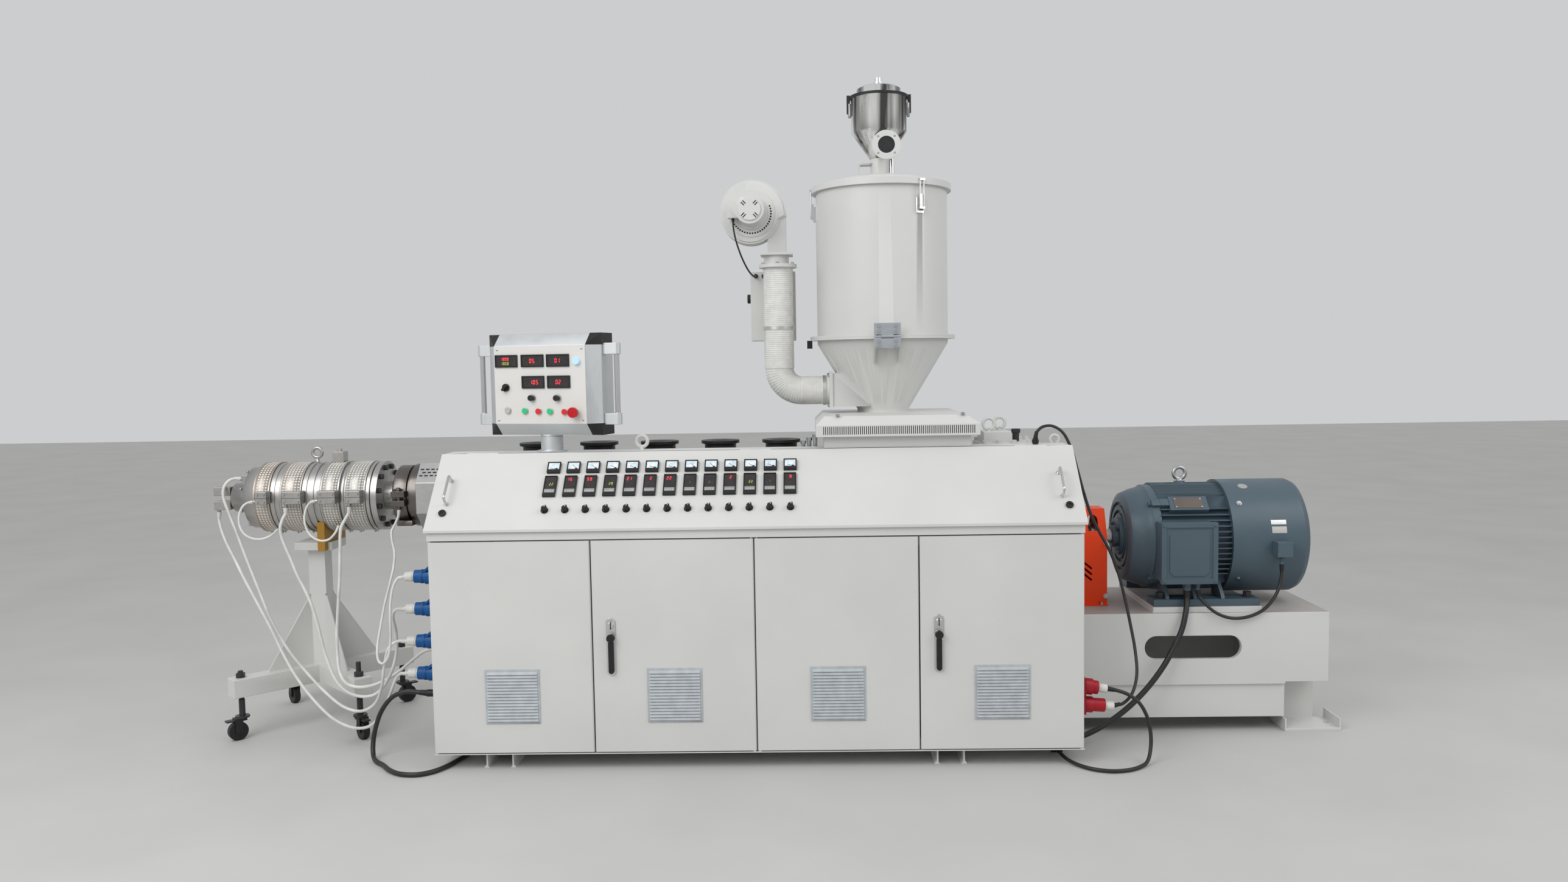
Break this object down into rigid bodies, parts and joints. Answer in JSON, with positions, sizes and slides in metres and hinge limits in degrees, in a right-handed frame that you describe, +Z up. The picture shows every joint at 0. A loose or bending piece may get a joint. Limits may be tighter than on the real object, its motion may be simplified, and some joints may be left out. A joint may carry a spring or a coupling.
{
  "type": "plastic extruder",
  "caption": "Single-screw plastic extruder with a long control cabinet, a dryer hopper, a large motor on a steel base and a pipe die on its own stand.",
  "frame": {"origin": "on the floor, under the middle of the machine's bounding box without its cables", "axes": "+X along the machine from the die towards the motor, +Y from the doors to the back, +Z up"},
  "size_m": [4.625, 1.0292, 2.662],
  "materials": {
    "black_cable": "cable sheath",
    "black_plastic": "moulded",
    "blue_plastic": "moulded",
    "box_white": "printed panel",
    "bright_steel": "polished",
    "grey_frame": "anodised profile",
    "motor_paint": "enamel",
    "orange_paint": "gloss enamel",
    "red_plastic": "moulded",
    "steel": "turned",
    "white_cable": "smooth sleeve",
    "white_paint": "satin powder coat",
    "yellow_paint": "worn enamel"
  },
  "bodies": {
    "machine": {"cabinet_shell": "white_paint", "cabinet_feet": "white_paint", "box_post": "white_paint", "base_frame": "white_paint", "foot_plates": "white_paint", "riser": "white_paint", "feed_hood": "white_paint", "barrel_cover": "steel", "barrel_blowers": "black_plastic", "gearbox": "white_paint", "coupling_guard": "orange_paint", "motor_frame": "motor_paint", "motor_shield": "motor_paint", "motor_fan_cover": "motor_paint", "motor_box": "motor_paint", "motor_shaft": "steel", "hopper_cone": "white_paint", "dryer_duct": "white_paint", "dryer_blower": "white_paint", "dryer_box": "white_paint", "die_body": "steel", "die_bands": "steel", "die_neck": "steel", "die_plugs": "steel", "die_stand": "white_paint", "die_saddle": "yellow_paint", "casters": "black_plastic", "heater_sockets": "blue_plastic", "power_plugs": "red_plastic", "water_fittings": "steel", "lead_tip_low": "white_cable", "lead_tip_high": "white_cable", "lead_ring": "white_cable", "lead_band_1": "white_cable", "lead_loop": "white_cable", "lead_band_2": "white_cable", "lead_neck": "white_cable", "floor_lead": "black_cable", "motor_cable": "black_cable", "fan_lead": "black_cable", "sensor_lead": "black_cable", "supply_lead": "black_cable"},
    "door_1": {"door_1": "white_paint"},
    "door_2": {"door_2": "white_paint", "lock_2": "bright_steel"},
    "door_3": {"door_3": "white_paint"},
    "door_4": {"door_4": "white_paint", "lock_4": "bright_steel"},
    "lid": {"sloped_panel": "white_paint", "panel_instruments": "black_plastic", "panel_knobs": "black_plastic", "panel_handles": "bright_steel"},
    "control_box": {"box_body": "grey_frame", "box_face": "box_white", "box_controls": "black_plastic", "box_handles": "grey_frame"},
    "drum": {"hopper_drum": "white_paint", "hopper_lid": "white_paint", "loader": "bright_steel", "loader_neck": "white_paint"}
  },
  "joints": [
    {"name": "door_1_hinge", "type": "hinge", "parent": "machine", "child": "door_1", "pos_m": [-1.203, -0.451, 0.4], "axis": [0, 0, -1], "range_deg": [0, 90]},
    {"name": "door_2_hinge", "type": "hinge", "parent": "machine", "child": "door_2", "pos_m": [-0.014, -0.451, 0.4], "axis": [0, 0, 1], "range_deg": [0, 85]},
    {"name": "door_3_hinge", "type": "hinge", "parent": "machine", "child": "door_3", "pos_m": [0.007, -0.451, 0.4], "axis": [0, 0, -1], "range_deg": [0, 85]},
    {"name": "door_4_hinge", "type": "hinge", "parent": "machine", "child": "door_4", "pos_m": [1.196, -0.451, 0.4], "axis": [0, 0, 1], "range_deg": [0, 90]},
    {"name": "lid_hinge", "type": "hinge", "parent": "machine", "child": "lid", "pos_m": [-0.0035, -0.212, 1.1695], "axis": [-1, 0, 0], "range_deg": [0, 45]},
    {"name": "control_box_swivel", "type": "hinge", "parent": "machine", "child": "control_box", "pos_m": [-0.8055, -0.148, 1.238], "axis": [0, 0, 1], "range_deg": [-45, 45]},
    {"name": "drum_tilt", "type": "hinge", "parent": "machine", "child": "drum", "pos_m": [0.5165, -0.129, 1.6], "axis": [1, 0, 0], "range_deg": [0, 80]}
  ]
}
